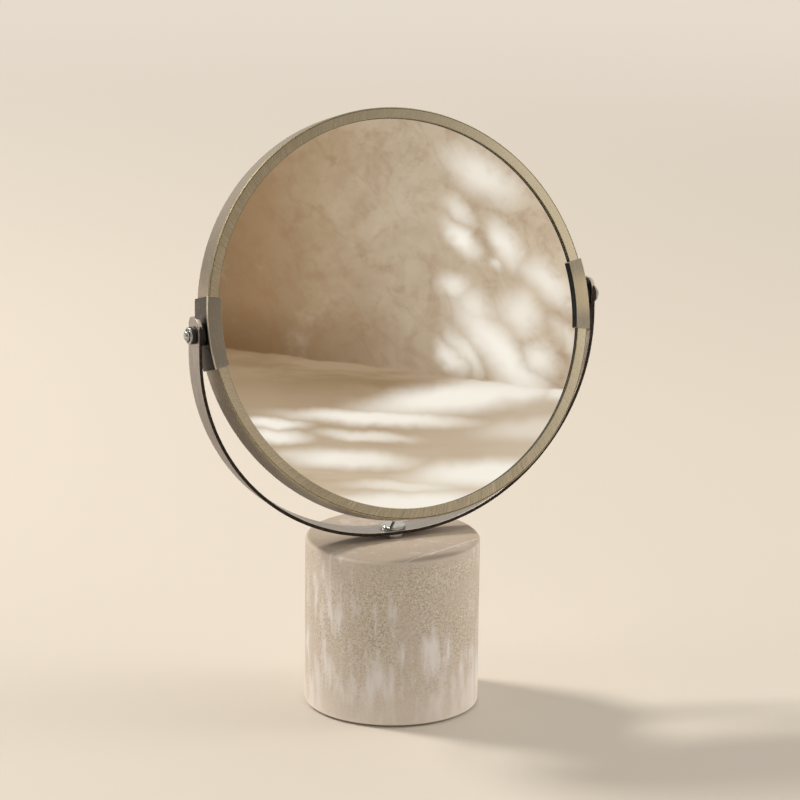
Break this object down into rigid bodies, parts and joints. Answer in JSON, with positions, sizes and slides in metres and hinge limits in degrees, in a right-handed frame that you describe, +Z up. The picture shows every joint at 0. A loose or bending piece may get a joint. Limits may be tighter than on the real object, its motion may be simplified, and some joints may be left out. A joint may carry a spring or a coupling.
{
  "type": "round swivel table mirror",
  "caption": "Round two-sided table mirror in a thin metal ring that swivels in a U-shaped strip yoke screwed to a cylindrical cement base.",
  "frame": {"origin": "centre of the underside, on the surface that the base stands on", "axes": "+Z up; the mirror's front faces -Y; the pivot axis runs along X"},
  "size_m": [0.22, 0.086, 0.2947],
  "materials": {
    "cement": "matt cast cement, sandstone look",
    "foam_pad": "dark foam rubber",
    "insert_brass": "turned",
    "chrome": "polished",
    "yoke_metal": "satin antique pewter plating",
    "black_nylon": "matt",
    "ring_brass": "brushed antique plating",
    "clip_brass": "satin antique plating",
    "mirror_glass": "silvered glass",
    "card": "pressed fibre",
    "nut_steel": "zinc plated"
  },
  "bodies": {
    "stand": {"base": "cement", "base_pad": "foam_pad", "base_insert": "insert_brass", "yoke_spacer": "chrome", "yoke": "yoke_metal", "yoke_screw": "chrome", "inner_washer_left": "black_nylon", "inner_washer_right": "black_nylon", "outer_washer_left": "black_nylon", "outer_washer_right": "black_nylon"},
    "mirror": {"frame_upper": "ring_brass", "frame_lower": "ring_brass", "clip_left": "clip_brass", "clip_right": "clip_brass", "plain_mirror": "mirror_glass", "magnifying_mirror": "mirror_glass", "backing_card": "card", "spacer_ring": "card", "pivot_nut_left": "nut_steel", "pivot_nut_right": "nut_steel", "pivot_screw_left": "chrome", "pivot_screw_right": "chrome"}
  },
  "joints": [
    {"name": "mirror_swivel", "type": "hinge", "parent": "stand", "child": "mirror", "pos_m": [0, 0, 0.1975], "axis": [1, 0, 0], "continuous": true}
  ]
}
